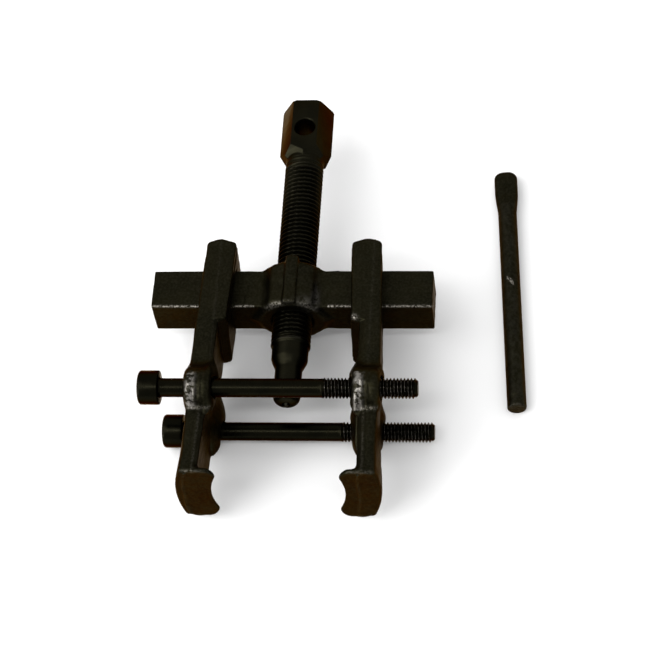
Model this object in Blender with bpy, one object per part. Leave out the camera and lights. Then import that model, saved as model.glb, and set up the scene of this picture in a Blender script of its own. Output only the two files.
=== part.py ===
"""Two-jaw gear puller with its tommy bar.

Metres, +Z up.  The forcing screw runs along Y with its hex head at +Y, the square crossbar
lies along X, and the two jaws reach towards -Y.  The puller lies on the lower bolt bosses of
its jaws, and the tommy bar lies on the same floor at +X.  The origin is the middle of the
whole set's footprint, at floor height.
"""
import math

import bmesh
import bpy
from mathutils import Matrix, Vector

# ---- driving dimensions -------------------------------------------------------------------
GAP = 0.0003                  # clearance between touching pieces

BAR_LENGTH = 0.0844           # square crossbar
BAR_SIDE = 0.0128
BAR_EDGE = 0.0007
BOSS_RADIUS = 0.0101          # forged boss around the threaded bore
BOSS_BACK = 0.0077            # how far the boss reaches from the bar's middle, each way
BOSS_FILLET = 0.0030
BOSS_EDGE = 0.0010
RIB_WIDTH = 0.0034            # raised band over the boss
RIB_RISE = 0.0010
RIB_FAR = 0.0090
RIB_NEAR = 0.0075

SCREW_RADIUS = 0.0060         # M12 x 1.5 thread, modelled at its crest
SCREW_TIP_Y = -0.0370         # stations along the screw, from the crossbar's middle
SCREW_DOME_Y = -0.0340
SCREW_NECK_Y = -0.0245
SCREW_TAPER_Y = -0.0210
SCREW_THREAD_START_Y = -0.0175
SCREW_COLLAR_Y = 0.0494
SCREW_HEX_Y = 0.0516
SCREW_END_Y = 0.0698
SCREW_NECK_RADIUS = 0.00405
SCREW_PLAIN_RADIUS = 0.00545
SCREW_ROOT_RADIUS = 0.0051    # relief groove between the thread and the collar
SCREW_COLLAR_RADIUS = 0.0059
GROOVE_SLOPE = 0.0004
GROOVE_FLAT = 0.0005
COLLAR_LENGTH = 0.0022
SCREW_NOSE = ((0.0026, 0.0014), (0.0036, 0.0020))   # radius and set-back behind the pin's point
HEX_FLATS = 0.0140
HEX_CHAMFER = 0.0008
CROSS_HOLE_RADIUS = 0.0032
CROSS_HOLE_Y = 0.0595

PIN_RADIUS = 0.0010           # hardened centre pin in the end of the screw
PIN_DEPTH = 0.0060
PIN_POINT = 0.0010
PIN_TIP_RADIUS = 0.0004
PIN_TIP_LENGTH = 0.0001

BOLT_RADIUS = 0.0030          # M6 socket head cap screws that tie the jaws together
BOLT_SHANK_RADIUS = 0.00275
BOLT_LENGTH = 0.0750
BOLT_THREAD = 0.0280
BOLT_HEAD_RADIUS = 0.0050
BOLT_HEAD = 0.0060
BOLT_SOCKET_FLATS = 0.0050
BOLT_SOCKET_DEPTH = 0.0030
BOLT_HEAD_CHAMFER = 0.0005
BOLT_SMALL_EDGE = 0.0003
BOLT_POINT = 0.0008           # chamfer on the threaded end
BOLT_Y = -0.0381
BOLT_Z = 0.0130               # above and below the screw
UPPER_BOLT_X = -0.0413        # outer end of each bolt head
LOWER_BOLT_X = -0.0380

JAW_BOSS_RADIUS = 0.0060      # bosses of the jaws around the bolts
JAW_BOSS_IN = 0.0203
JAW_BOSS_OUT = 0.0285
JAW_BOSS_EDGE = 0.0009
JAW_CORNER = 0.0009
CUT_PAST = 0.0100             # how far a cutter runs past what it cuts
WINDOW_CLEARANCE = 0.00035
JAWS_X = -0.0002              # the middle of the two jaws
JAW_LEAN = 0.06                # slack lets both jaws lean to the right, as x per z

# Sections of the right jaw from its rounded far end to the face of its claw:
# y, inner x, outer x, half height, bulge of the outer side, hollow of the inner side
JAW_SECTIONS = (
    (0.0133, 0.0199, 0.0242, 0.0116, 0.0000, 0.0000),
    (0.0127, 0.0185, 0.0256, 0.0126, 0.0000, 0.0000),
    (0.0114, 0.0178, 0.0262, 0.0130, 0.0000, 0.0000),
    (-0.0129, 0.0184, 0.0274, 0.0130, 0.0000, 0.0000),
    (-0.0146, 0.0208, 0.0275, 0.0130, 0.0000, 0.0000),
    (-0.0300, 0.0213, 0.0278, 0.0130, 0.0002, 0.0002),
    (-0.0460, 0.0219, 0.0276, 0.0130, 0.0012, 0.0005),
    (-0.0570, 0.0223, 0.0275, 0.0132, 0.0016, 0.0008),
    (-0.0624, 0.0224, 0.0277, 0.0135, 0.0018, 0.0009),
    (-0.0638, 0.0211, 0.0280, 0.0137, 0.0018, 0.0010),
    (-0.0644, 0.0180, 0.0281, 0.0137, 0.0018, 0.0013),
    (-0.0658, 0.0180, 0.0281, 0.0137, 0.0018, 0.0013),
)
JAW_SIDE_STEPS = 8            # straight pieces in each curved side of a section

TOMMY_RADIUS = 0.0029         # loose tommy bar
TOMMY_LENGTH = 0.0851
TOMMY_X = 0.0644              # at its middle
TOMMY_Y = 0.0143
TOMMY_TURN = math.radians(3.4)
TOMMY_FLAT_LENGTH = 0.0095
TOMMY_FLAT_WIDTH = 0.0072
TOMMY_FLAT_THICKNESS = 0.0044
TOMMY_EDGE = 0.0006
TOMMY_BLEND = 0.0030          # how long the round bar takes to become the flat

# ---- places worked out from them ----------------------------------------------------------
AXIS_Z = BOLT_Z + JAW_BOSS_RADIUS
JAW_FACE_Y = JAW_SECTIONS[-1][0]
TOMMY_REACH = (
    TOMMY_X
    + (TOMMY_LENGTH / 2 - TOMMY_EDGE) * math.sin(TOMMY_TURN)
    + TOMMY_RADIUS * math.cos(TOMMY_TURN)
)
ORIGIN = Vector((
    (TOMMY_REACH - BAR_LENGTH / 2) / 2,
    (SCREW_END_Y + JAW_FACE_Y) / 2,
    -AXIS_Z,
))


def place(x, y, z):
    """A point given from the middle of the crossbar, in the model's own frame."""
    return Vector((x, y, z)) - ORIGIN


# ---- helpers ------------------------------------------------------------------------------
def clear_scene():
    for obj in list(bpy.data.objects):
        bpy.data.objects.remove(obj, do_unlink=True)


def steel(name, colour, roughness, metallic):
    material = bpy.data.materials.new(name)
    material.use_nodes = True
    shader = material.node_tree.nodes["Principled BSDF"]
    shader.inputs["Base Color"].default_value = (*colour, 1.0)
    shader.inputs["Roughness"].default_value = roughness
    shader.inputs["Metallic"].default_value = metallic
    return material


def to_object(name, bm, material=None):
    mesh = bpy.data.meshes.new(name)
    bmesh.ops.recalc_face_normals(bm, faces=bm.faces)
    bm.to_mesh(mesh)
    bm.free()
    obj = bpy.data.objects.new(name, mesh)
    bpy.context.collection.objects.link(obj)
    if material:
        mesh.materials.append(material)
        mesh.shade_smooth()
        mesh.set_sharp_from_angle(angle=math.radians(30))
    return obj


def tool(name, bm):
    """A hidden shape that only cuts or joins."""
    obj = to_object(name, bm)
    obj.hide_render = True
    obj.display_type = "WIRE"
    return obj


def combine(obj, other, operation):
    modifier = obj.modifiers.new(f"{operation.lower()}_{other.name}", "BOOLEAN")
    modifier.operation = operation
    modifier.solver = "EXACT"
    modifier.object = other


def prism(outline, depth):
    """Extrudes an outline in XZ to both sides of Y = 0."""
    bm = bmesh.new()
    near = [bm.verts.new((x, -depth, z)) for x, z in outline]
    face = bm.faces.new(near)
    swept = bmesh.ops.extrude_face_region(bm, geom=[face])
    moved = [item for item in swept["geom"] if isinstance(item, bmesh.types.BMVert)]
    bmesh.ops.translate(bm, vec=(0, 2 * depth, 0), verts=moved)
    return bm


def rod(radius, length, segments=40):
    """A cylinder along X, from x = 0, with a flat rather than a corner towards +Y and +Z."""
    bm = bmesh.new()
    turn = Matrix.Rotation(math.pi / segments, 4, "X") @ Matrix.Rotation(math.radians(90), 4, "Y")
    shift = Matrix.Translation((length / 2, 0, 0))
    bmesh.ops.create_cone(
        bm, cap_ends=True, segments=segments, radius1=radius, radius2=radius,
        depth=length, matrix=shift @ turn,
    )
    return bm


def box(low, high):
    bm = bmesh.new()
    size = Vector(high) - Vector(low)
    middle = (Vector(high) + Vector(low)) / 2
    bmesh.ops.create_cube(bm, size=1.0, matrix=Matrix.Translation(middle) @ Matrix.Diagonal((*size, 1)))
    return bm


def turned(profile, segments):
    """Spins a profile of (radius, x) about the X axis into a closed body."""
    bm = bmesh.new()
    line = [bm.verts.new((x, 0, radius)) for radius, x in profile]
    edges = [bm.edges.new(pair) for pair in zip(line, line[1:])]
    bmesh.ops.spin(
        bm, geom=line + edges, cent=(0, 0, 0), axis=(1, 0, 0),
        angle=math.tau, steps=segments, use_merge=True,
    )
    bmesh.ops.remove_doubles(bm, verts=bm.verts, dist=1e-6)
    return bm


def along_y(bm):
    """Turns a body made along X so that it lies along Y."""
    bmesh.ops.rotate(bm, cent=(0, 0, 0), matrix=Matrix.Rotation(math.radians(90), 3, "Z"), verts=bm.verts)
    return bm


def bevel_edges(bm, width, segments, choose):
    edges = [edge for edge in bm.edges if choose(edge)]
    bmesh.ops.bevel(bm, geom=edges, offset=width, segments=segments, affect="EDGES")


def is_sharp(edge):
    return len(edge.link_faces) == 2 and edge.calc_face_angle() > math.radians(50)


def arc(centre, radius, start, end, steps):
    cx, cz = centre
    turns = [start + (end - start) * i / steps for i in range(steps + 1)]
    return [(cx + radius * math.cos(t), cz + radius * math.sin(t)) for t in turns]


# ---- crossbar -----------------------------------------------------------------------------
def boss_outline():
    """The boss in XZ: a circle that flows into the bar's faces through fillets."""
    half = BAR_SIDE / 2
    reach = BOSS_RADIUS + BOSS_FILLET
    rise = half + BOSS_FILLET
    foot = math.sqrt(reach ** 2 - rise ** 2)
    slope = math.atan2(rise, foot)
    sunk = (foot + BAR_EDGE, half - BAR_EDGE)
    crown = arc((0, 0), BOSS_RADIUS, slope, math.pi - slope, 16)
    right = arc((foot, rise), BOSS_FILLET, -math.pi / 2, slope - math.pi, 6)
    left = [(-x, z) for x, z in reversed(right)]
    top = [sunk] + right + crown[1:-1] + left + [(-sunk[0], sunk[1])]
    bottom = [(-x, -z) for x, z in top]
    return top + bottom


def make_crossbar(material):
    half = BAR_SIDE / 2
    bm = box((-BAR_LENGTH / 2, -half, -half), (BAR_LENGTH / 2, half, half))
    bevel_edges(bm, BAR_EDGE, 2, is_sharp)
    bar = to_object("crossbar", bm, material)

    boss = tool("boss_middle", prism(boss_outline(), half - BAR_EDGE))
    barrel_bm = along_y(rod(BOSS_RADIUS, 2 * BOSS_BACK, 48))
    bmesh.ops.translate(barrel_bm, vec=(0, -BOSS_BACK, 0), verts=barrel_bm.verts)
    bevel_edges(barrel_bm, BOSS_EDGE, 3, is_sharp)
    barrel = tool("boss_barrel", barrel_bm)

    rib_top = BOSS_RADIUS + RIB_RISE
    rib_bm = box((-RIB_WIDTH / 2, -RIB_NEAR, -rib_top), (RIB_WIDTH / 2, RIB_FAR, rib_top))
    bevel_edges(rib_bm, BOSS_EDGE, 3, lambda edge: abs(edge.verts[0].co.x - edge.verts[1].co.x) > GAP)
    rib = tool("boss_rib", rib_bm)

    depth = 2 * (BOSS_BACK + CUT_PAST)
    bore_bm = along_y(rod(SCREW_RADIUS + GAP, depth, 48))
    bmesh.ops.translate(bore_bm, vec=(0, -depth / 2, 0), verts=bore_bm.verts)
    bore = tool("threaded_bore", bore_bm)

    for obj in (bar, boss, barrel, rib, bore):
        obj.location = place(0, 0, 0)
    combine(bar, boss, "UNION")
    combine(bar, barrel, "UNION")
    combine(bar, rib, "UNION")
    combine(bar, bore, "DIFFERENCE")
    return bar


# ---- forcing screw and its centre pin -----------------------------------------------------
def screw_profile():
    """(radius, y) from the bottom of the centre pin's hole, round the nose, to the hex end."""
    hole = PIN_RADIUS + GAP
    corner = HEX_FLATS / math.sqrt(3) + GAP
    groove_end = SCREW_COLLAR_Y - COLLAR_LENGTH
    groove = groove_end - 2 * GROOVE_SLOPE - GROOVE_FLAT
    nose = [(radius, SCREW_TIP_Y + back) for radius, back in SCREW_NOSE]
    return [
        (0.0, SCREW_DOME_Y + PIN_DEPTH),
        (hole, SCREW_DOME_Y + PIN_DEPTH),
        (hole, SCREW_TIP_Y + PIN_POINT),
        *nose,
        (SCREW_NECK_RADIUS, SCREW_DOME_Y),
        (SCREW_NECK_RADIUS, SCREW_NECK_Y),
        (SCREW_PLAIN_RADIUS, SCREW_TAPER_Y),
        (SCREW_PLAIN_RADIUS, SCREW_THREAD_START_Y),
        (SCREW_RADIUS, SCREW_THREAD_START_Y + SCREW_RADIUS - SCREW_PLAIN_RADIUS),
        (SCREW_RADIUS, groove),
        (SCREW_ROOT_RADIUS, groove + GROOVE_SLOPE),
        (SCREW_ROOT_RADIUS, groove_end - GROOVE_SLOPE),
        (SCREW_COLLAR_RADIUS, groove_end),
        (SCREW_COLLAR_RADIUS, SCREW_COLLAR_Y),
        (corner, SCREW_HEX_Y),
        (corner, SCREW_END_Y - HEX_CHAMFER),
        (corner - HEX_CHAMFER, SCREW_END_Y),
        (0.0, SCREW_END_Y),
    ]


def hexagon_ring(bm, radius, y):
    turns = [math.tau * i / 6 for i in range(6)]
    return [bm.verts.new((radius * math.cos(t), y, radius * math.sin(t))) for t in turns]


def around_hexagon():
    """Everything outside the hexagon, for the length of the screw's head."""
    bm = bmesh.new()
    inner = hexagon_ring(bm, HEX_FLATS / math.sqrt(3), SCREW_COLLAR_Y)
    outer = hexagon_ring(bm, 2 * HEX_FLATS, SCREW_COLLAR_Y)
    for i in range(6):
        j = (i + 1) % 6
        bm.faces.new((inner[i], inner[j], outer[j], outer[i]))
    swept = bmesh.ops.extrude_face_region(bm, geom=list(bm.faces))
    moved = [item for item in swept["geom"] if isinstance(item, bmesh.types.BMVert)]
    bmesh.ops.translate(bm, vec=(0, SCREW_END_Y - SCREW_COLLAR_Y + CUT_PAST, 0), verts=moved)
    return bm


def make_forcing_screw(material):
    screw = to_object("forcing_screw", along_y(turned(screw_profile(), 48)), material)
    hexagon = tool("hex_outside", around_hexagon())

    length = HEX_FLATS + 2 * CUT_PAST
    hole_bm = rod(CROSS_HOLE_RADIUS, length, 32)
    upright = Matrix.Rotation(math.radians(-90), 3, "Y")
    bmesh.ops.rotate(hole_bm, cent=(0, 0, 0), matrix=upright, verts=hole_bm.verts)
    bmesh.ops.translate(hole_bm, vec=(0, CROSS_HOLE_Y, -length / 2), verts=hole_bm.verts)
    cross_hole = tool("cross_hole", hole_bm)

    for obj in (screw, hexagon, cross_hole):
        obj.location = place(0, 0, 0)
    combine(screw, hexagon, "DIFFERENCE")
    combine(screw, cross_hole, "DIFFERENCE")
    return screw


def make_centre_pin(material):
    profile = (
        (0.0, SCREW_DOME_Y + PIN_DEPTH - GAP),
        (PIN_RADIUS, SCREW_DOME_Y + PIN_DEPTH - GAP),
        (PIN_RADIUS, SCREW_TIP_Y + PIN_POINT),
        (PIN_TIP_RADIUS, SCREW_TIP_Y + PIN_TIP_LENGTH),
        (0.0, SCREW_TIP_Y),
    )
    pin = to_object("centre_pin", along_y(turned(profile, 20)), material)
    pin.location = place(0, 0, 0)
    return pin


# ---- jaws ---------------------------------------------------------------------------------
def jaw_section(y, inner, outer, half, bulge, hollow):
    """One closed section of the right jaw in XZ, as points (x, y, z)."""
    side = half - JAW_CORNER
    heights = [side * (2 * i / JAW_SIDE_STEPS - 1) for i in range(JAW_SIDE_STEPS + 1)]
    points = [(outer + bulge * (1 - (z / side) ** 2), y, z) for z in heights]
    points += [(outer - JAW_CORNER, y, half), (inner + JAW_CORNER, y, half)]
    points += [(inner + hollow * (1 - (z / side) ** 2), y, z) for z in reversed(heights)]
    points += [(inner + JAW_CORNER, y, -half), (outer - JAW_CORNER, y, -half)]
    return points


def jaw_blank(side):
    """The forged plate of one jaw; side is +1 for the right jaw and -1 for the left."""
    bm = bmesh.new()
    rings = []
    for section in JAW_SECTIONS:
        points = jaw_section(*section)
        rings.append([bm.verts.new((side * x + JAW_LEAN * z, y, z)) for x, y, z in points])
    for first, second in zip(rings, rings[1:]):
        for i in range(len(first)):
            j = (i + 1) % len(first)
            bm.faces.new((first[i], first[j], second[j], second[i]))
    bm.faces.new(rings[0])
    bm.faces.new(reversed(rings[-1]))
    return bm


def make_jaw(name, side, material):
    jaw = to_object(name, jaw_blank(side), material)
    jaw.location = place(JAWS_X, 0, 0)
    reach = BAR_SIDE / 2 + WINDOW_CLEARANCE
    past = JAW_BOSS_OUT + CUT_PAST
    window = tool(f"{name}_window", box((-past, -reach, -reach), (past, reach, reach)))
    window.location = jaw.location
    thickness = JAW_BOSS_OUT - JAW_BOSS_IN
    low_x = JAWS_X + (JAW_BOSS_IN if side > 0 else -JAW_BOSS_OUT)
    holes = []
    for label, height in (("upper", BOLT_Z), ("lower", -BOLT_Z)):
        boss_bm = rod(JAW_BOSS_RADIUS, thickness, 40)
        bevel_edges(boss_bm, JAW_BOSS_EDGE, 3, is_sharp)
        boss = tool(f"{name}_{label}_boss", boss_bm)
        boss_x = low_x + JAW_LEAN * height
        boss.location = place(boss_x, BOLT_Y, height)
        combine(jaw, boss, "UNION")
        hole = tool(f"{name}_{label}_hole", rod(BOLT_RADIUS + GAP, thickness + 2 * CUT_PAST, 32))
        hole.location = place(boss_x - CUT_PAST, BOLT_Y, height)
        holes.append(hole)
    combine(jaw, window, "DIFFERENCE")
    for hole in holes:
        combine(jaw, hole, "DIFFERENCE")
    return jaw


# ---- tie bolts ----------------------------------------------------------------------------
def bolt_profile():
    end = BOLT_HEAD + BOLT_LENGTH
    thread = end - BOLT_THREAD
    step = BOLT_RADIUS - BOLT_SHANK_RADIUS
    return (
        (0.0, 0.0),
        (BOLT_HEAD_RADIUS - BOLT_HEAD_CHAMFER, 0.0),
        (BOLT_HEAD_RADIUS, BOLT_HEAD_CHAMFER),
        (BOLT_HEAD_RADIUS, BOLT_HEAD - BOLT_SMALL_EDGE),
        (BOLT_HEAD_RADIUS - BOLT_SMALL_EDGE, BOLT_HEAD),
        (BOLT_SHANK_RADIUS + BOLT_SMALL_EDGE, BOLT_HEAD),
        (BOLT_SHANK_RADIUS, BOLT_HEAD + BOLT_SMALL_EDGE),
        (BOLT_SHANK_RADIUS, thread),
        (BOLT_RADIUS, thread + step),
        (BOLT_RADIUS, end - BOLT_POINT),
        (BOLT_RADIUS - BOLT_POINT, end),
        (0.0, end),
    )


def make_bolt(name, x, z, material):
    bolt = to_object(name, turned(bolt_profile(), 36), material)
    bolt.location = place(x, BOLT_Y, z)
    socket_bm = rod(BOLT_SOCKET_FLATS / math.sqrt(3), BOLT_SOCKET_DEPTH + CUT_PAST, 6)
    socket = tool(f"{name}_socket", socket_bm)
    socket.location = bolt.location - Vector((CUT_PAST, 0, 0))
    combine(bolt, socket, "DIFFERENCE")
    return bolt


# ---- tommy bar ----------------------------------------------------------------------------
def oval_ring(bm, y, half_width, half_height, segments=24):
    turns = [math.tau * i / segments for i in range(segments)]
    return [bm.verts.new((half_width * math.cos(t), y, half_height * math.sin(t))) for t in turns]


def make_tommy_bar(material):
    """A round bar whose far end is hammered flat and wide, so that it can't slip through."""
    bm = bmesh.new()
    radius = TOMMY_RADIUS
    wide = TOMMY_FLAT_WIDTH / 2
    thin = TOMMY_FLAT_THICKNESS / 2
    end = TOMMY_LENGTH / 2
    flat = end - TOMMY_FLAT_LENGTH
    edge = TOMMY_EDGE
    stations = (
        (-end, radius - edge, radius - edge),
        (-end + edge, radius, radius),
        (flat - TOMMY_BLEND, radius, radius),
        (flat, (radius + wide) / 2, (radius + thin) / 2),
        (flat + TOMMY_BLEND, wide, thin),
        (end - 3 * edge, wide, thin),
        (end - edge, wide - 2 * edge, thin - edge),
        (end, wide - 4 * edge, thin - 2 * edge),
    )
    rings = [oval_ring(bm, *station) for station in stations]
    for first, second in zip(rings, rings[1:]):
        for i in range(len(first)):
            j = (i + 1) % len(first)
            bm.faces.new((first[i], first[j], second[j], second[i]))
    bm.faces.new(rings[0])
    bm.faces.new(reversed(rings[-1]))
    bar = to_object("tommy_bar", bm, material)
    bar.location = place(TOMMY_X, TOMMY_Y, TOMMY_RADIUS - AXIS_Z)
    bar.rotation_euler.z = TOMMY_TURN
    return bar


# ---- assembly -----------------------------------------------------------------------------
def main():
    clear_scene()
    forged = steel("forged_black_steel", (0.018, 0.016, 0.012), 0.42, 0.85)
    machined = steel("black_oxide_steel", (0.014, 0.013, 0.011), 0.30, 0.90)
    hardened = steel("hardened_steel", (0.060, 0.056, 0.050), 0.30, 1.00)
    make_crossbar(forged)
    make_forcing_screw(machined)
    make_centre_pin(hardened)
    make_jaw("left_jaw", -1, forged)
    make_jaw("right_jaw", 1, forged)
    make_bolt("upper_tie_bolt", UPPER_BOLT_X, BOLT_Z, machined)
    make_bolt("lower_tie_bolt", LOWER_BOLT_X, -BOLT_Z, machined)
    make_tommy_bar(forged)


main()
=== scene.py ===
"""Looks of the two-jaw gear puller and its tommy bar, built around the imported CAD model.

Shapes are modelled in millimetres from the middle of the crossbar, where the screw's axis
crosses the bar, and moved to the frame's metres at the end.  X runs along the crossbar, Y
along the screw towards its hex head, and Z is up.  Forged pieces are signed distance fields,
so that their fillets flow as a forging's do.  Machined pieces are turned profiles with real
helical threads.
"""
import math

import bmesh
import bpy
import numpy as np
import openvdb
from mathutils import Matrix, Vector


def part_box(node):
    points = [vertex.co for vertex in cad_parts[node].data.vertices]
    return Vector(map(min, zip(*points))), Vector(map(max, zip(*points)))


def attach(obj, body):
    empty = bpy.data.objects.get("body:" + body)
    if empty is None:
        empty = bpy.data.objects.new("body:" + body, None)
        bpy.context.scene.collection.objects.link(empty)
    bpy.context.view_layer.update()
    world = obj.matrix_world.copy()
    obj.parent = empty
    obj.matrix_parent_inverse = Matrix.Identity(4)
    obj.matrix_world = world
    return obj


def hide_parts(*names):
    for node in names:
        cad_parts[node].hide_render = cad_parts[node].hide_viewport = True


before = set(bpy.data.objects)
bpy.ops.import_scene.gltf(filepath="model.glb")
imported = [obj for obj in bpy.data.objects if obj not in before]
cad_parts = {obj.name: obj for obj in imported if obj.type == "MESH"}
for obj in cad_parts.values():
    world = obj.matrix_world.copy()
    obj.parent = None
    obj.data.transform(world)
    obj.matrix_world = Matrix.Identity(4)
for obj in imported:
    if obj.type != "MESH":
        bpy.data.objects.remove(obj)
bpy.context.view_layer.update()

MM = 0.001
SCREW_END = 69.8              # hex end of the forcing screw, from the crossbar's middle
BAR_LOW, BAR_HIGH = (Vector(corner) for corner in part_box("crossbar"))
SCREW_HIGH = Vector(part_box("forcing_screw")[1])
MIDDLE = Vector((
    (BAR_LOW.x + BAR_HIGH.x) / 2,
    SCREW_HIGH.y - SCREW_END * MM,
    (BAR_LOW.z + BAR_HIGH.z) / 2,
))
FLOOR_Z = -0.0001             # a tenth of a millimetre under the lowest boss


# ---- meshes -------------------------------------------------------------------------------
SAME_POINT = 1e-7             # metres between points that are one point


def bare_mesh(name, points, faces, sharp=0):
    """An object made of points in millimetres; sharp is the angle of its sharp edges, if any."""
    mesh = bpy.data.meshes.new(name)
    mesh.from_pydata([Vector(p) * MM + MIDDLE for p in points], [], faces)
    mesh.validate()
    obj = bpy.data.objects.new(name, mesh)
    bpy.context.collection.objects.link(obj)
    bm = bmesh.new()
    bm.from_mesh(mesh)
    bmesh.ops.remove_doubles(bm, verts=bm.verts, dist=SAME_POINT)
    bmesh.ops.recalc_face_normals(bm, faces=bm.faces)
    bm.to_mesh(mesh)
    bm.free()
    mesh.shade_smooth()
    if sharp:
        mesh.set_sharp_from_angle(angle=math.radians(sharp))
    return obj


def dress(obj, node, material):
    """Gives a piece its material.  It replaces a CAD node and rides on the body of that name."""
    obj.data.materials.append(material)
    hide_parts(node)
    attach(obj, node)


def in_mm(obj):
    """A piece's points in millimetres from the crossbar's middle."""
    flat = np.empty(len(obj.data.vertices) * 3)
    obj.data.vertices.foreach_get("co", flat)
    return (flat.reshape(-1, 3) - np.array(MIDDLE)) / MM


def paint(obj, name, values):
    """Stores one number per vertex for a material to read."""
    layer = obj.data.attributes.new(name, "FLOAT", "POINT")
    layer.data.foreach_set("value", np.clip(values, 0.0, 1.0).astype(np.float32))


def near(distance, reach):
    """1 at no distance, falling to nothing past the reach."""
    return np.exp(-(distance / reach) ** 2)


# ---- signed distance fields ---------------------------------------------------------------
GRID_STEP = 0.25              # millimetres between samples
FIELD_LIMIT = 3.0             # a field is only needed this close to its surface


class Grid:
    """Sample points of a box in millimetres."""

    def __init__(self, low, high):
        self.low = np.array(low, dtype=float)
        axes = [np.arange(a, b + GRID_STEP, GRID_STEP) for a, b in zip(low, high)]
        self.x, self.y, self.z = np.meshgrid(*axes, indexing="ij")

    def surface(self, field):
        """The zero level of a field as points and faces."""
        grid = openvdb.FloatGrid(FIELD_LIMIT)
        grid.copyFromArray(np.clip(field, -FIELD_LIMIT, FIELD_LIMIT).astype(np.float32))
        points, quads = grid.convertToQuads(isovalue=0.0)
        return points * GRID_STEP + self.low, [tuple(int(i) for i in quad) for quad in quads]


def ball_corner(parts, radius):
    """Meets several half-space distances with one rounded edge of that radius."""
    inside = np.maximum.reduce(parts)
    outside = np.sqrt(sum(np.maximum(part + radius, 0.0) ** 2 for part in parts))
    return np.minimum(inside + radius, 0.0) + outside - radius


def block(grid, half_sizes, edge):
    """A block about the crossbar's middle, with rounded edges."""
    return ball_corner([np.abs(a) - half for a, half in zip((grid.x, grid.y, grid.z), half_sizes)], edge)


def barrel(across, along, radius, low, high, edge):
    """A cylinder from low to high with rounded rims, from the distance across its axis."""
    return ball_corner([across - radius, np.abs(along - (low + high) / 2) - (high - low) / 2], edge)


def join(a, b, blend):
    """A union with a fillet."""
    mix = np.clip(0.5 + 0.5 * (b - a) / blend, 0.0, 1.0)
    return b + (a - b) * mix - blend * mix * (1 - mix)


def meet(a, b, blend):
    """An intersection with a rounded edge."""
    return -join(-a, -b, blend)


def ripple(x, y, z, size, seed):
    """Smooth unevenness of about -1 to 1, with waves of about that size."""
    rng = np.random.default_rng(seed)
    total = 0.0
    for _ in range(5):
        wave = rng.normal(size=3)
        wave *= math.tau / size / np.linalg.norm(wave) * rng.uniform(0.6, 1.4)
        total = total + np.sin(wave[0] * x + wave[1] * y + wave[2] * z + rng.uniform(0, math.tau))
    return total / 2.5


# ---- procedural steel ---------------------------------------------------------------------
BROWN_RIM = (0.55, 0.45, 0.34, 1.0)     # what the black oxide reflects at a glancing angle
SKIN_DARK = (0.0070, 0.0067, 0.0035)    # the forging's black skin, and its paler patches
SKIN_PALE = (0.0104, 0.0094, 0.0045)
SCALE_GRAIN = (0.0180, 0.0168, 0.0104)
SCALE_FLECK = (0.019, 0.0165, 0.0105)
BARE_STEEL_AND_HIGHLIGHT = (0.26, 0.24, 0.21)         # where the skin is worn through, and painted highlights on some edges
RUBBED_STEEL_AND_HIGHLIGHT = (0.25, 0.235, 0.215)     # where it is rubbed to a shine, and painted highlights on the bosses
OXIDE_DARK = (0.0085, 0.0082, 0.0050)   # black oxide on turned steel
OXIDE_PALE = (0.0125, 0.0115, 0.0065)
WORN_CREST = (0.16, 0.145, 0.125)


class Nodes:
    """Short names for the shader nodes that the steels share.  Noise scales are per metre."""

    def __init__(self, name):
        self.material = bpy.data.materials.new(name)
        self.material.use_nodes = True
        self.tree = self.material.node_tree
        self.shader = self.tree.nodes["Principled BSDF"]
        self.where = self.tree.nodes.new("ShaderNodeTexCoord").outputs["Object"]

    def link(self, a, b):
        self.tree.links.new(a, b)

    def noise(self, scale, detail=4.0, roughness=0.6, stretch=None):
        node = self.tree.nodes.new("ShaderNodeTexNoise")
        node.inputs["Scale"].default_value = scale
        node.inputs["Detail"].default_value = detail
        node.inputs["Roughness"].default_value = roughness
        where = self.where
        if stretch:
            mapping = self.tree.nodes.new("ShaderNodeMapping")
            mapping.inputs["Scale"].default_value = stretch
            self.link(where, mapping.inputs["Vector"])
            where = mapping.outputs["Vector"]
        self.link(where, node.inputs["Vector"])
        return node.outputs["Fac"]

    def ramp(self, source, low, high, out_low=0.0, out_high=1.0):
        node = self.tree.nodes.new("ShaderNodeMapRange")
        node.inputs["From Min"].default_value = low
        node.inputs["From Max"].default_value = high
        node.inputs["To Min"].default_value = out_low
        node.inputs["To Max"].default_value = out_high
        self.link(source, node.inputs["Value"])
        return node.outputs["Result"]

    def math(self, kind, a, b):
        node = self.tree.nodes.new("ShaderNodeMath")
        node.operation = kind
        for socket, value in zip(node.inputs, (a, b)):
            if isinstance(value, (int, float)):
                socket.default_value = value
            else:
                self.link(value, socket)
        return node.outputs["Value"]

    def mix(self, amount, a, b):
        node = self.tree.nodes.new("ShaderNodeMix")
        node.data_type = "RGBA"
        self.link(amount, node.inputs["Factor"])
        for socket, value in ((node.inputs[6], a), (node.inputs[7], b)):
            if isinstance(value, tuple):
                socket.default_value = (*value, 1.0)
            else:
                self.link(value, socket)
        return node.outputs[2]

    def bump(self, height, strength, distance, normal=None):
        node = self.tree.nodes.new("ShaderNodeBump")
        node.inputs["Strength"].default_value = strength
        node.inputs["Distance"].default_value = distance
        self.link(height, node.inputs["Height"])
        if normal:
            self.link(normal, node.inputs["Normal"])
        return node.outputs["Normal"]

    def attribute(self, name):
        node = self.tree.nodes.new("ShaderNodeAttribute")
        node.attribute_name = name
        return node.outputs["Fac"]


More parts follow.
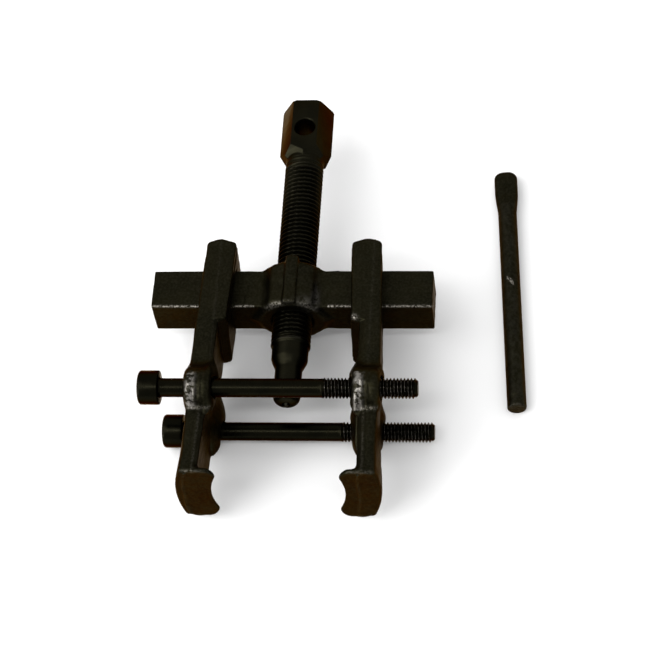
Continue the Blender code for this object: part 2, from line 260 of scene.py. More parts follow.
def forged_steel(name):
    """Blackened forging skin: scale grain, oily patches, bare bright steel on worn edges, and painted
    highlights on some edges and on the bosses.
    """
    n = Nodes(name)
    colour = n.mix(n.ramp(n.noise(90, 3), 0.35, 0.65), SKIN_DARK, SKIN_PALE)
    colour = n.mix(n.ramp(n.noise(1500, 2), 0.40, 0.70, 0.0, 0.8), colour, SCALE_GRAIN)
    colour = n.mix(n.ramp(n.noise(700, 4), 0.58, 0.78), colour, SCALE_FLECK)
    # bare steel where the skin is worn, and painted highlights on some edges and on the bosses' near feet
    worn = n.math("MULTIPLY", n.attribute("wear_and_highlight"), n.ramp(n.noise(1800, 3), 0.42, 0.58))
    colour = n.mix(worn, colour, BARE_STEEL_AND_HIGHLIGHT)
    # painted highlights on the bosses, and rubbed spots: lighter steel that is also glossier
    rub_and_highlight = n.math("MULTIPLY", n.attribute("rub_and_highlight"), n.ramp(n.noise(650, 4), 0.43, 0.55, 0.03, 1.0))
    colour = n.mix(rub_and_highlight, colour, RUBBED_STEEL_AND_HIGHLIGHT)
    n.link(colour, n.shader.inputs["Base Color"])
    rough = n.ramp(n.noise(240, 4), 0.3, 0.7, 0.38, 0.52)
    rough = n.math("SUBTRACT", rough, n.math("MULTIPLY", rub_and_highlight, 0.16))
    n.link(rough, n.shader.inputs["Roughness"])
    n.shader.inputs["Metallic"].default_value = 1.0
    n.shader.inputs["Specular Tint"].default_value = BROWN_RIM
    # hammered waves, then the scale's grain, then its pits
    pits = n.ramp(n.noise(900, 2, 0.5), 0.28, 0.42)
    normal = n.bump(n.noise(380, 4, 0.65), 0.20, 0.00020)
    normal = n.bump(n.noise(2600, 3), 0.42, 0.00007, normal)
    normal = n.bump(pits, 0.35, 0.00006, normal)
    n.link(normal, n.shader.inputs["Normal"])
    return n.material


def machined_steel(name, rough_low, rough_high, turning, tone=1.0):
    """Black oxide over turned steel, with faint rings from the tool and bright worn crests.
    turning stretches the rings, and tone scales the oxide's colour."""
    n = Nodes(name)
    dark, pale = (tuple(tone * part for part in colour) for colour in (OXIDE_DARK, OXIDE_PALE))
    colour = n.mix(n.ramp(n.noise(160, 4), 0.35, 0.7), dark, pale)
    worn = n.math("MULTIPLY", n.attribute("wear_and_highlight"), n.ramp(n.noise(1500, 3), 0.40, 0.60))
    colour = n.mix(worn, colour, WORN_CREST)
    n.link(colour, n.shader.inputs["Base Color"])
    rough = n.ramp(n.noise(420, 4, 0.6, turning), 0.3, 0.7, rough_low, rough_high)
    n.link(rough, n.shader.inputs["Roughness"])
    n.shader.inputs["Metallic"].default_value = 1.0
    n.shader.inputs["Specular Tint"].default_value = BROWN_RIM
    normal = n.bump(n.noise(1500, 2, 0.5, turning), 0.16, 0.00004)
    normal = n.bump(n.noise(1800, 4), 0.10, 0.00004, normal)
    n.link(normal, n.shader.inputs["Normal"])
    return n.material


ALONG_Y = (0.25, 4.0, 0.25)    # the rings that a tool leaves on work that turns about Y
ALONG_X = (4.0, 0.25, 0.25)
FORGED = forged_steel("forged_black_steel")
TURNED = machined_steel("black_oxide_screw_steel", 0.28, 0.40, ALONG_Y, 0.82)
BOLT_STEEL = machined_steel("black_oxide_bolt_steel", 0.20, 0.30, ALONG_X, 0.5)
HARDENED = machined_steel("hardened_pin_steel", 0.22, 0.32, ALONG_Y)


# ---- crossbar -----------------------------------------------------------------------------
BAR_HALF_LENGTH = 42.2
BAR_HALF = 6.4
BAR_EDGE = 0.45
BOSS_RADIUS = 10.1
BOSS_HALF = 7.7
BOSS_FACETS = (24, 56, 90)    # hammered flats on the boss, in degrees up from the crossbar
BORE_RADIUS = 6.3
BORE_CHAMFER = 0.8
SADDLE_REACH = 10.2           # the sloping shoulders between the boss and the bar
SADDLE_HALF = 7.0
SADDLE_TOP = 9.6
RIB_X = -0.1                  # the raised band over and under the boss
RIB_HALF = 1.9
RIB_NEAR = -7.5
RIB_FAR = 9.0
RIB_TOP = 11.1


def make_crossbar():
    grid = Grid((-43.5, -9.6, -12.4), (43.5, 10.6, 12.4))
    x, y, z = grid.x, grid.y, grid.z
    across = np.hypot(x, z)
    bar = block(grid, (BAR_HALF_LENGTH, BAR_HALF, BAR_HALF), BAR_EDGE)
    turns = [math.radians(turn) for turn in BOSS_FACETS]
    facets = np.maximum.reduce([abs(x) * math.cos(turn) + abs(z) * math.sin(turn) for turn in turns])
    boss = barrel(0.25 * across + 0.77 * facets, y, BOSS_RADIUS, -BOSS_HALF, BOSS_HALF, 1.2)
    slope = np.abs(x) * 0.86 + np.abs(z) * 0.52
    saddle = ball_corner([slope - SADDLE_REACH, np.abs(y) - SADDLE_HALF, np.abs(z) - SADDLE_TOP], 1.2)
    field = join(join(boss, saddle, 1.2), bar, 1.7)
    rib = ball_corner([np.abs(x - RIB_X) - RIB_HALF, y - RIB_FAR, RIB_NEAR - y, np.abs(z) - RIB_TOP], 0.7)
    field = join(field, rib, 0.9)
    # the boss is hammered unevenly, and the bar much less
    field = field + 0.10 * ripple(x, y, z, 9.0, 3) * np.clip((across - 6.5) / 3, 0, 1) * (np.abs(x) < 14)
    field = field + 0.04 * ripple(x, y, z, 5.0, 4)
    bore = across - BORE_RADIUS
    mouth = bore - BORE_CHAMFER + np.maximum(BOSS_HALF + 0.6 - np.abs(y), 0) * 0.9
    field = meet(field, -np.minimum(bore, mouth), 0.3)
    crossbar = bare_mesh("crossbar_forging", *grid.surface(field))
    dress(crossbar, "crossbar", FORGED)
    paint_crossbar(crossbar)


def paint_crossbar(crossbar):
    """Bare steel on the bar's edges and the boss's near rim, with painted highlights on the near top edge and
    on that rim, and a painted highlight streak and a rub beside the rib.
    """
    x, y, z = in_mm(crossbar).T
    # the near top edge gets worn steel and a painted highlight; the other edges are only worn
    highlit_worn_front_edge = near(np.hypot(y + BAR_HALF, z - BAR_HALF), 0.45) * (np.abs(x) > 11)
    other_edge = near(np.hypot(np.abs(y) - BAR_HALF, np.abs(z) - BAR_HALF), 0.4) * (np.abs(x) > 11)
    # the boss's near rim: worn steel and painted highlights, brightest left and right of the middle
    rim = near(y + 7.3, 0.5) * (np.hypot(x, z) > 8.8) * (z > 0)
    crest = rim * (0.10 + 0.9 * near(x + 4.4, 2.2) + 0.5 * near(x - 5.0, 1.8))
    paint(crossbar, "wear_and_highlight", 0.95 * highlit_worn_front_edge + 0.15 * other_edge + 0.7 * crest)
    # a painted highlight streak down the boss's right facet, and a rub between it and the rib
    highlight_streak = 0.30 * near(x - 7.4, 0.9) * near(y + 4.5, 4.0)
    rubbed = 0.16 * near(x - 4.6, 2.2) * near(y + 6.6, 1.6)
    paint(crossbar, "rub_and_highlight", (highlight_streak + rubbed) * (z > 5))


# ---- jaws ---------------------------------------------------------------------------------
JAWS_X = -0.2                 # how far the pair of jaws stands from the crossbar's middle
JAW_LEAN = 0.06               # how far a jaw leans sideways for each millimetre of height
JAW_NEAR = -65.8              # the claws' near faces
JAW_FAR = 13.6
JAW_HALF = 13.0
JAW_EDGE = 1.1
SLEEVE_NEAR = -14.5           # in front of here a jaw has no sleeve round the crossbar
LIP_INNER = 17.7              # how far in the lip's two lobes reach
LIP_OUTER = 25.0
LIP_FAR = -64.25
LIP_HALF = 13.7
LOBE = 9.6                    # the height of those lobes
WINDOW = 6.75                 # half the square window that the crossbar goes through
CUT_EDGE = 0.25
BOLT_Y = -38.1
BOLT_Z = 13.0
BOLT_HOLE = 3.3
HUMP_RADIUS = 6.0
HUMP_OUTER = 28.4
# the boss round each bolt: its height, its inner face and how much wider its inner fillet is
HUMPS = ((BOLT_Z, 20.4, 3.2), (-BOLT_Z, 21.0, 5.2))
# folds in the near side of each boss: place across the jaw, reach and depth
FOLDS = ((22.7, 0.34, 0.30), (24.1, 0.38, 0.40), (25.5, 0.34, 0.34))
# along the jaw: y, inner side, outer side, half height
JAW_STATIONS = (
    (13.4, 17.2, 26.3, JAW_HALF),
    (0.0, 17.7, 26.9, JAW_HALF),
    (-14.1, 18.3, 27.4, JAW_HALF),
    (-14.9, 20.9, 27.5, JAW_HALF),
    (-30.0, 21.3, 27.8, JAW_HALF),
    (-46.0, 21.9, 27.6, JAW_HALF),
    (-57.0, 22.3, 27.5, 13.2),
    (-62.4, 22.4, 27.9, 13.5),
    (-66.0, 22.4, 28.1, 13.7),
)


def jaw_section(y, z):
    """The jaw's inner side, outer side and half height at places along and up it."""
    ys, *columns = (np.array(column) for column in zip(*reversed(JAW_STATIONS)))
    inner, outer, half = (np.interp(y, ys, column) for column in columns)
    # the claw end bows outwards halfway up
    bulge = np.clip((-y - 36) / 22, 0, 1) * (1 - np.clip(np.abs(z) / JAW_HALF, 0, 1) ** 2)
    return inner + 1.0 * bulge, outer + 1.8 * bulge, half


def claw_seam(outer, z, seed, place):
    """Where the flash line crosses the claw; a negative place counts from the outer side."""
    return (outer + place if place < 0 else place) + 0.30 * np.sin(z * 0.30 + seed)


def jaw_body(across, y, z):
    """The arm with its sleeve, its chamfers and the claw's lip."""
    inner, outer, half = jaw_section(y, z)
    far = JAW_FAR - 0.03 * (across - 21.8) ** 2 - 0.003 * np.maximum(np.abs(z) - 5, 0) ** 2
    arm = ball_corner([inner - across, across - outer, np.abs(z) - half, y - far, JAW_NEAR - y], JAW_EDGE)
    # the arm's inner top and bottom edges are chamfered, and the sleeve slopes down inwards
    chamfer = (inner - across) * 0.62 + (np.abs(z) - half) * 0.78 + 1.05
    shoulder = np.maximum(21.0 - across, 0) * 0.06 * (np.abs(z) > 10)
    arm = np.where(y < SLEEVE_NEAR, meet(arm, chamfer, 0.3), arm + shoulder)
    # the lip reaches in furthest on two lobes, between a hollow middle and the ears
    hub = 1 - np.clip(np.abs(z) / LOBE, 0, 1) ** 2
    ear = np.clip((np.abs(z) - LOBE) / (LIP_HALF - LOBE), 0, 1) ** 2
    lip_in = LIP_INNER + 1.6 * hub + 2.3 * ear
    sides = [lip_in - across, across - LIP_OUTER, np.abs(z) - LIP_HALF, y - LIP_FAR, JAW_NEAR - 0.4 - y]
    return np.maximum(join(arm, ball_corner(sides, JAW_EDGE), 1.9), JAW_NEAR - y)


def forging_marks(across, y, z, seed, parting):
    """How far the skin stands out where the two halves of the die met, and at the far end's
    crown, less the shallow groove beside the chamfer."""
    inner, outer, _ = jaw_section(y, z)
    seam = parting[0] + 0.10 * np.sin(y * 0.4 + seed)
    on_edge = (np.abs(z) > 11) | (y > 11)
    marks = 0.08 * near(across - seam, 0.26) * on_edge * (y > -31)
    marks = marks + 0.40 * near(across - 22.2, 2.4) * near(y - 14.0, 1.8)
    front_seam = claw_seam(outer, z, seed, parting[1])
    marks = marks + 0.30 * near(across - front_seam, 0.36) * (y < -64.6) * (np.abs(z) < 12.6)
    groove = 0.16 * near(across - inner - 2.7, 0.26) * (np.abs(z) > 12) * (y < -45) * (y > -62.5)
    return marks - groove


def add_humps(field, x, y, z, lean, seed):
    """The two bolt bosses, with the folds that the forging left on their near sides."""
    for height, inner_face, inner_fillet in HUMPS:
        away = np.hypot(y - BOLT_Y, z - height)
        at = x - lean * height
        folds = sum(depth * near(at - place, reach) for place, reach, depth in FOLDS)
        fold = folds * np.clip((BOLT_Y + 4.0 - y) / 2, 0, 1) * (0.6 + 0.4 * np.sin(1.7 * y + at + seed))
        hump = barrel(away + fold, at, HUMP_RADIUS, inner_face, HUMP_OUTER, 1.8)
        far_side = np.clip((y - BOLT_Y + 1) / 4, 0, 1)
        inner_side = np.clip((23.0 - at) / 1.8, 0, 1)
        field = join(field, hump, 1.9 + 2.6 * far_side + inner_fillet * inner_side)
    return field


def cut_openings(field, x, y, z, lean):
    """The square window for the crossbar, and the bolt holes with their chamfered mouths."""
    field = meet(field, WINDOW - np.maximum(np.abs(y), np.abs(z)), CUT_EDGE)
    for height, inner_face, _ in HUMPS:
        hole = np.hypot(y - BOLT_Y, z - height) - BOLT_HOLE
        at = x - lean * height
        mouth = hole - 0.5 + np.minimum(np.abs(at - inner_face), np.abs(at - HUMP_OUTER))
        field = np.maximum(meet(field, -hole, CUT_EDGE), -mouth)
    return field


def make_jaw(name, side, seed, parting, nick=None):
    """One jaw, modelled as the right one and mirrored for the left, where side is -1.  parting
    gives the flash line's place across the top and across the claw, and nick a bare spot's
    place and size."""
    grid = Grid((15.8, -67.2, -20.4), (31.4, 15.0, 20.4))
    x, y, z = grid.x, grid.y, grid.z
    lean = side * JAW_LEAN
    across = x - lean * z
    field = jaw_body(across, y, z) - forging_marks(across, y, z, seed, parting)
    field = add_humps(field, x, y, z, lean, seed)
    calm = np.clip((y + 66.5) / 4, 0.3, 1)
    field = field + calm * (0.05 * ripple(x, y, z, 8.0, seed) + 0.03 * ripple(x, y, z, 3.5, seed + 1))
    points, faces = grid.surface(cut_openings(field, x, y, z, lean))
    points[:, 0] = side * points[:, 0] + JAWS_X
    if side < 0:
        faces = [tuple(reversed(face)) for face in faces]
    jaw = bare_mesh(f"{name}_forging", points, faces)
    dress(jaw, name, FORGED)
    paint_jaw(jaw, side, seed, parting, nick)


def paint_jaw(jaw, side, seed, parting, nick):
    """Painted highlights on the bolt bosses, and bare steel on flash lines, edges and the nick, partly
    painted highlights on the claws' near edges and the bosses' near feet.
    """
    points = in_mm(jaw)
    x, y, z = points.T
    across = side * (x - JAWS_X) - side * JAW_LEAN * z
    inner, outer, half = jaw_section(y, z)
    lines = 0.03 * near(across - parting[0], 0.4) * (y > -31)
    lines = lines + 0.10 * near(across - inner - 1.7, 0.35) * (y < -46)
    wear_and_highlight = lines * (np.abs(z) > half - 1.2)
    # the claws' near top and bottom edges: partly worn steel and partly a painted highlight
    wear_and_highlight = wear_and_highlight + 0.16 * near(np.hypot(y - JAW_NEAR, np.abs(z) - 13.6), 0.6)
    # the near foot of each bolt boss: a painted highlight along its fillet, with some wear
    wear_and_highlight = wear_and_highlight + 0.25 * near(y - (BOLT_Y - 6.6), 0.6) * near(np.abs(z) - 13.2, 0.5)
    front_seam = claw_seam(outer, z, seed, parting[1])
    wear_and_highlight = wear_and_highlight + 0.05 * near(across - front_seam, 0.4) * (y < JAW_NEAR + 0.4)
    if nick:
        *place, size = nick
        wear_and_highlight = wear_and_highlight + 3.0 * near(np.linalg.norm(points - np.array(place), axis=1), size)
    paint(jaw, "wear_and_highlight", wear_and_highlight)
    away = np.hypot(y - BOLT_Y, np.abs(z) - BOLT_Z)
    on_hump = (away < 7.1) * (away > 3.5) * (y < BOLT_Y + 2.5)
    # a painted highlight down the side of each bolt boss that faces -X
    paint(jaw, "rub_and_highlight", on_hump * near(across - (24.2 - side * 2.3), 1.1))


# ---- turned pieces ------------------------------------------------------------------------
CREST_FLAT = 0.14             # the shares of a thread's pitch that lie flat
ROOT_FLAT = 0.16


def ring_faces(rings, segments):
    """The faces of a closed row of rings, with a cap at both ends."""
    faces = []
    for base in range(0, (rings - 1) * segments, segments):
        for i in range(segments):
            j = (i + 1) % segments
            faces.append((base + i, base + j, base + segments + j, base + segments + i))
    last = (rings - 1) * segments
    return [*faces, tuple(reversed(range(segments))), tuple(range(last, last + segments))]


def lathe(stations, segments, radius_at=None):
    """Turns (x, radius) stations about X, closed at both ends.  radius_at(x, turn, radius) may
    change a radius around the piece, for threads and hexagons."""
    turns = np.arange(segments) / segments * math.tau
    points = []
    for x, radius in stations:
        radii = radius_at(x, turns, radius) if radius_at else np.full(segments, radius)
        points += [(x, r * math.cos(t), r * math.sin(t)) for r, t in zip(radii, turns)]
    return points, ring_faces(len(stations), segments)


def threaded(start, end, pitch, depth, fade):
    """A radius function for a right-hand thread of about 60 degrees along X, which runs out
    over fade at each end."""

    def radius_at(x, turns, radius):
        full = np.clip((x - start) / fade, 0, 1) * np.clip((end - x) / fade, 0, 1)
        off_crest = np.abs((x / pitch - turns / math.tau + 0.5) % 1.0 - 0.5)
        drop = (off_crest - CREST_FLAT / 2) / (0.5 - CREST_FLAT / 2 - ROOT_FLAT / 2)
        return radius - full * depth * np.clip(drop, 0.0, 1.0)

    return radius_at


def thread_stations(start, end, pitch, radius, steps):
    """Evenly spaced stations, with that many to a pitch."""
    count = int(round((end - start) / pitch * steps))
    return [(start + (end - start) * i / count, radius) for i in range(count + 1)]


def hexagon_radius(turns, flats):
    """The distance from the axis to a hexagon with a flat towards +Z."""
    sixth = math.tau / 6
    return flats / 2 / np.cos((turns + sixth / 2 - math.tau / 4) % sixth - sixth / 2)


def rise(place, start, length):
    """0 up to the start, then rising to 1 over that length."""
    return min(max((place - start) / length, 0), 1)


def along_y(points):
    """Swings lathe points from X to Y, along the forcing screw's axis."""
    return [(-y, x, z) for x, y, z in points]


# ---- forcing screw ------------------------------------------------------------------------
SCREW_RADIUS = 6.0
SCREW_PITCH = 1.5
SCREW_THREAD_DEPTH = 0.84
SCREW_SEGMENTS = 72
NECK_RADIUS = 5.45            # the plain part between the thread and the nose
THREAD_NEAR = -16.4
THREAD_FAR = 47.4
NOSE_RADIUS = 4.05
PIN_HOLE = 1.3
HEX_FLATS = 14.0
HEX_TAPER = (49.9, 53.0)      # where the hexagon's corners are ground down to the collar
TAPER_STEPS = 24
GROUND_FLATS = 10.2           # across the ground flats at the collar
GROUND_SPREAD = 6.2           # how much wider they are at the taper's far end
COLLAR = 5.9
GROUND = -2.0                 # marks a station that lies in that taper
CROSS_HOLE_Y = 59.5
CROSS_HOLE_RADIUS = 3.2


def carve(obj, cutter, operation):
    """Applies one exact Boolean and removes the cutter."""
    modifier = obj.modifiers.new("carve", "BOOLEAN")
    modifier.operation = operation
    modifier.solver = "EXACT"
    modifier.object = cutter
    bpy.context.view_layer.update()
    graph = bpy.context.evaluated_depsgraph_get()
    mesh = bpy.data.meshes.new_from_object(obj.evaluated_get(graph))
    obj.modifiers.clear()
    obj.data = mesh
    bpy.data.objects.remove(cutter, do_unlink=True)


def make_hex_head():
    """A turned blank cut down to a hexagon, with a cross hole for the tommy bar."""
    start, end = HEX_TAPER
    corner = HEX_FLATS / math.sqrt(3)
    collar = [(49.3, 3.0), (49.3, 5.75), (49.5, COLLAR), (start, COLLAR)]
    # flats ground across the hexagon's corners, where it meets the collar
    taper = [(start + (end - start) * i / TAPER_STEPS, GROUND) for i in range(1, TAPER_STEPS)]
    wide = corner + 0.1
    blank = [(end, wide), (SCREW_END - 0.5, wide), (SCREW_END, corner - 0.4), (SCREW_END, 3.0)]

    def radius_at(y, turns, radius):
        if radius == GROUND:
            flats = GROUND_FLATS + GROUND_SPREAD * (y - start) / (end - start)
            return np.maximum(COLLAR, hexagon_radius(turns + math.tau / 12, flats))
        return np.full(len(turns), radius)

    points, faces = lathe(collar + taper + blank, 96, radius_at)
    head = bare_mesh("hex_head", along_y(points), faces)

    def hexagon_at(y, turns, radius):
        return hexagon_radius(turns, HEX_FLATS)

    points, faces = lathe([(40.0, 1.0), (80.0, 1.0)], 6, hexagon_at)
    carve(head, bare_mesh("hexagon", along_y(points), faces), "INTERSECT")
    # the cross hole, with a countersink at both of its mouths
    wall, mouth = CROSS_HOLE_RADIUS, CROSS_HOLE_RADIUS + 0.3
    points, faces = lathe([(-14, 4.9), (-7.0, mouth), (-6.7, wall), (6.7, wall), (7.0, mouth), (14, 4.9)], 64)
    upright = [(y, CROSS_HOLE_Y + z, x) for x, y, z in points]
    carve(head, bare_mesh("cross_hole", upright, faces), "DIFFERENCE")
    bevel = head.modifiers.new("edges", "BEVEL")
    bevel.width = 0.16 * MM
    bevel.segments = 2
    bevel.limit_method = "ANGLE"
    bevel.angle_limit = math.radians(28)
    bevel.use_clamp_overlap = True
    return head


def make_screw_shaft():
    """The threaded shaft with its plain neck, and its domed nose with a hole for the pin."""
    nose = [
        (-28.3, PIN_HOLE), (-36.2, PIN_HOLE), (-36.1, 2.0), (-35.7, 2.9), (-35.2, 3.5), (-34.6, 3.85),
        (-33.9, NOSE_RADIUS), (-24.9, NOSE_RADIUS), (-24.3, 4.15), (-23.4, 4.6), (-21.9, 5.25),
        (-21.2, NECK_RADIUS), (-17.6, NECK_RADIUS),
    ]
    body = thread_stations(THREAD_NEAR - 0.8, THREAD_FAR, SCREW_PITCH, SCREW_RADIUS, 18)
    end = [(47.8, 5.55), (48.3, 5.6), (48.7, 5.85), (49.9, 5.85), (49.9, 3.0)]
    cut = threaded(THREAD_NEAR, THREAD_FAR, SCREW_PITCH, SCREW_THREAD_DEPTH, 1.6)

    def radius_at(x, turns, radius):
        if radius == SCREW_RADIUS:
            return cut(x, turns, NECK_RADIUS + 0.5 * rise(x, THREAD_NEAR - 1.0, 0.8))
        return np.full(len(turns), radius)

    points, faces = lathe(nose + body + end, SCREW_SEGMENTS, radius_at)
    return bare_mesh("screw_shaft", along_y(points), faces)


def make_forcing_screw():
    head = make_hex_head()
    shaft = make_screw_shaft()
    bpy.context.view_layer.update()
    graph = bpy.context.evaluated_depsgraph_get()
    joined = bmesh.new()
    joined.from_mesh(bpy.data.meshes.new_from_object(head.evaluated_get(graph)))
    joined.from_mesh(shaft.data)
    mesh = bpy.data.meshes.new("forcing_screw_turned")
    joined.to_mesh(mesh)
    joined.free()
    for old in (head, shaft):
        bpy.data.objects.remove(old, do_unlink=True)
    screw = bpy.data.objects.new("forcing_screw_turned", mesh)
    bpy.context.collection.objects.link(screw)
    mesh.shade_smooth()
    mesh.set_sharp_from_angle(angle=math.radians(30))
    dress(screw, "forcing_screw", TURNED)
    x, y, z = in_mm(screw).T
    paint(screw, "wear_and_highlight", 0.05 * (np.hypot(x, z) > 5.85) * (y < 47))


PIN_RADIUS = 1.0


def make_centre_pin():
    stations = [(-28.6, 0.3), (-28.6, 0.85), (-28.75, PIN_RADIUS)]
    stations += [(-29.0 - i, PIN_RADIUS) for i in range(8)]
    stations += [(-36.7, 0.55), (-36.95, 0.25), (-37.0, 0.05)]
    points, faces = lathe(stations, 32)
    pin = bare_mesh("centre_pin_ground", along_y(points), faces, 35)
    dress(pin, "centre_pin", HARDENED)
    paint(pin, "wear_and_highlight", np.full(len(pin.data.vertices), 0.15))


# ---- tie bolts ----------------------------------------------------------------------------
BOLT_END = 81.0
BOLT_THREAD = 53.0            # where the thread starts, from the head's face
BOLT_THREAD_DEPTH = 0.58
BOLT_PITCH = 1.0
BOLT_RADIUS = 3.0
BOLT_SHANK = 2.75
BOLT_HEAD = 5.0
BOLT_SEGMENTS = 48
BOLT_SOCKET = 5.0             # across the flats of the hexagon socket
SOCKET = -1.0                 # marks a station whose section is that hexagon


def make_bolt(name, x, z):
    """A socket head cap screw along X, with the face of its head at x."""
    head = [
        (3.0, 0.2), (3.0, SOCKET), (1.0, SOCKET), (0.35, SOCKET), (0.0, 3.25), (0.0, 3.7), (0.0, 4.35),
        (0.08, 4.55), (0.25, 4.78), (0.55, 4.96), (0.8, BOLT_HEAD), (2.0, BOLT_HEAD), (4.5, BOLT_HEAD),
        (5.75, BOLT_HEAD), (5.92, 4.93), (6.0, 4.75), (6.0, 3.4), (6.06, 3.1), (6.3, 2.86), (6.6, 2.76),
    ]
    shank = [(8.0 + i, BOLT_SHANK) for i in range(45)]
    thread = thread_stations(BOLT_THREAD, BOLT_END - 0.9, BOLT_PITCH, BOLT_RADIUS, 16)
    end = [(BOLT_END - 0.6, 2.6), (BOLT_END - 0.25, 2.35), (BOLT_END, 2.1), (BOLT_END, 1.0)]
    cut = threaded(BOLT_THREAD + 0.2, BOLT_END + 1.0, BOLT_PITCH, BOLT_THREAD_DEPTH, 1.2)

    def radius_at(at, turns, radius):
        if radius == SOCKET:
            return hexagon_radius(turns, BOLT_SOCKET)
        if radius == BOLT_RADIUS:
            return cut(at, turns, BOLT_SHANK + 0.25 * rise(at, BOLT_THREAD, 0.9))
        return np.full(len(turns), radius)

    points, faces = lathe(head + shank + thread + end, BOLT_SEGMENTS, radius_at)
    points = [(x + px, BOLT_Y + py, z + pz) for px, py, pz in points]
    bolt = bare_mesh(f"{name}_turned", points, faces, 30)
    dress(bolt, name, BOLT_STEEL)
    px, py, pz = in_mm(bolt).T
    radius = np.hypot(py - BOLT_Y, pz - z)
    at = px - x
    crest = (radius > 2.93) * (at > BOLT_THREAD + 1)
    paint(bolt, "wear_and_highlight", 0.35 * crest + 0.35 * near(np.hypot(at, radius - 4.8), 0.3))


# ---- tommy bar ----------------------------------------------------------------------------
TOMMY_MIDDLE = Vector((64.4, 14.3, -16.1))
TOMMY_TURN = Matrix.Rotation(math.radians(3.4), 3, "Z")
TOMMY_HALF = 42.55
TOMMY_RADIUS = 2.9
TOMMY_SEGMENTS = 56
SAWN_RINGS = (0.02, 0.86, 0.93, 0.98)    # the near end's first rings, as shares of the radius
TOMMY_NICK = (-0.1, 1.2)      # the middle of a bare scratch across the bar


def tommy_ring(y, sawn):
    """One ring of points round the bar, where sawn narrows it at its near end."""
    flat = rise(y, 26.5, 9.0)
    flat = flat * flat * (3 - 2 * flat)
    tip = rise(y, 40.3, 2.25)
    end_round = math.sqrt(max(1 - tip ** 2.2 * 0.62, 0.02))
    wide = (TOMMY_RADIUS + 0.7 * flat) * end_round * sawn
    thin = (TOMMY_RADIUS - 0.75 * flat) * (0.25 + 0.75 * end_round) * sawn
    squareness = 2 + 1.4 * flat
    ring = []
    for t in (math.tau * i / TOMMY_SEGMENTS for i in range(TOMMY_SEGMENTS)):
        c, s = math.cos(t), math.sin(t)
        shape = (abs(c) ** squareness + abs(s) ** squareness) ** (-1 / squareness)
        dent = 0.05 * math.sin(1.9 * y + 2 * t) * flat
        filed = 0.30 * rise(-y, 38.6, 1.2) * max(s, 0)
        ring.append((wide * shape * c, y, thin * shape * s - filed + dent))
    return ring


def make_tommy_bar():
    """A round rod with a sawn near end and a far end hammered flat and wide."""
    near_end = [-TOMMY_HALF, -TOMMY_HALF, -42.5, -42.35, -42.0]
    far_end = [41.4, 41.8, 42.1, 42.35, 42.5, TOMMY_HALF]
    ys = [*near_end, *np.arange(-41.5, 41.2, 0.6), *far_end]
    sawn = [*SAWN_RINGS, *[1.0] * (len(ys) - len(SAWN_RINGS))]
    points = [point for y, share in zip(ys, sawn) for point in tommy_ring(y, share)]
    moved = [TOMMY_TURN @ Vector(point) + TOMMY_MIDDLE for point in points]
    bar = bare_mesh("tommy_bar_rod", moved, ring_faces(len(ys), TOMMY_SEGMENTS), 35)
    dress(bar, "tommy_bar", FORGED)
    back = TOMMY_TURN.inverted()
    x, y, z = np.array([back @ (Vector(point) - TOMMY_MIDDLE) for point in in_mm(bar)]).T
    nick_x, nick_y = TOMMY_NICK
    along = (y - nick_y) * 0.82 - (x - nick_x) * 0.57
    aside = (y - nick_y) * 0.57 + (x - nick_x) * 0.82
    nick = (np.abs(aside) < 0.42) * (np.abs(along) < 1.5) * (z > 1)
    paint(bar, "wear_and_highlight", 3.0 * nick + 0.08 * (y < -42.2))
    paint(bar, "rub_and_highlight", 0.02 * (y < 30))


# ---- floor, light and camera --------------------------------------------------------------
FLOOR_REACH = 3.0
LIGHT_AWAY = 1.2
CAMERA_TURN = math.radians(-12.22)
CAMERA_HEIGHT = math.radians(58.0)
CAMERA_ROLL = math.radians(-10.37)
CAMERA_AIM = Vector((11.45, -10.6, 0.0))
CAMERA_AWAY = 683.5
CAMERA_LENS = 125.06


def make_floor():
    mesh = bpy.data.meshes.new("floor")
    corners = [(-1, -1), (1, -1), (1, 1), (-1, 1)]
    mesh.from_pydata([(FLOOR_REACH * x, FLOOR_REACH * y, FLOOR_Z) for x, y in corners], [], [(0, 1, 2, 3)])
    floor = bpy.data.objects.new("floor", mesh)
    bpy.context.collection.objects.link(floor)
    material = bpy.data.materials.new("white_sweep")
    material.use_nodes = True
    shader = material.node_tree.nodes["Principled BSDF"]
    shader.inputs["Base Color"].default_value = (0.93, 0.93, 0.93, 1)
    shader.inputs["Roughness"].default_value = 0.9
    shader.inputs["Specular IOR Level"].default_value = 0.1
    mesh.materials.append(material)


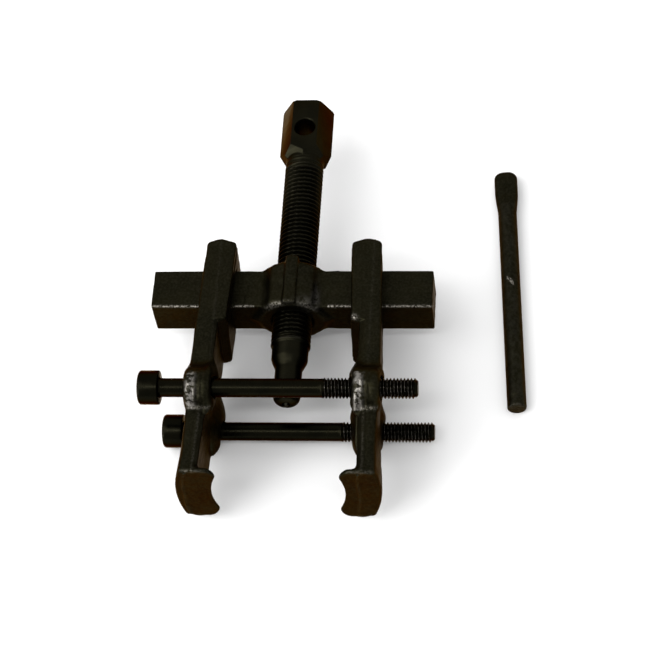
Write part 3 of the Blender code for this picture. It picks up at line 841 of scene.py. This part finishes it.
def area_light(name, azimuth, height, wide, tall, power):
    """A soft box that looks at the puller.  azimuth is counted from +X towards +Y, and both
    angles are in degrees; wide and tall are in metres, and power in watts."""
    light = bpy.data.lights.new(name, "AREA")
    light.shape = "RECTANGLE"
    light.size = wide
    light.size_y = tall
    light.energy = power
    obj = bpy.data.objects.new(name, light)
    bpy.context.collection.objects.link(obj)
    a, h = math.radians(azimuth), math.radians(height)
    way = Vector((math.cos(a) * math.cos(h), math.sin(a) * math.cos(h), math.sin(h)))
    obj.location = MIDDLE + way * LIGHT_AWAY
    obj.rotation_euler = (-way).to_track_quat("-Z", "Y").to_euler()


def make_lights():
    area_light("key_box", azimuth=208, height=49, wide=1.0, tall=1.0, power=10)
    area_light("front_strip", azimuth=276, height=65, wide=0.7, tall=0.07, power=2.4)
    area_light("low_card", azimuth=222, height=14, wide=0.4, tall=0.25, power=5)
    world = bpy.data.worlds.new("studio")
    world.use_nodes = True
    background = world.node_tree.nodes["Background"]
    background.inputs["Color"].default_value = (1.0, 1.0, 1.0, 1)
    background.inputs["Strength"].default_value = 0.84
    bpy.context.scene.world = world


def make_camera():
    camera = bpy.data.cameras.new("camera")
    camera.sensor_width = 36.0
    camera.lens = CAMERA_LENS
    camera.dof.use_dof = False
    camera.clip_start = 0.01
    obj = bpy.data.objects.new("camera", camera)
    bpy.context.collection.objects.link(obj)
    flat, tall = math.cos(CAMERA_HEIGHT), math.sin(CAMERA_HEIGHT)
    ahead = Vector((math.sin(CAMERA_TURN) * flat, math.cos(CAMERA_TURN) * flat, -tall))
    right = Vector((math.cos(CAMERA_TURN), -math.sin(CAMERA_TURN), 0))
    up = right.cross(ahead)
    turn = Matrix((right, up, -ahead)).transposed().to_4x4() @ Matrix.Rotation(CAMERA_ROLL, 4, "Z")
    aim = CAMERA_AIM * MM + MIDDLE
    obj.matrix_world = Matrix.Translation(aim - ahead * CAMERA_AWAY * MM) @ turn
    bpy.context.scene.camera = obj
    bpy.context.scene.view_settings.view_transform = "Standard"


make_camera()
make_floor()
make_lights()
make_crossbar()
make_forcing_screw()
make_centre_pin()
make_jaw("left_jaw", -1, 11, (22.0, -2.3))
make_jaw("right_jaw", 1, 21, (24.2, 23.2), (19.6, -14.2, 13.0, 0.9))
make_bolt("upper_tie_bolt", -41.3, BOLT_Z)
make_bolt("lower_tie_bolt", -38.0, -BOLT_Z)
make_tommy_bar()
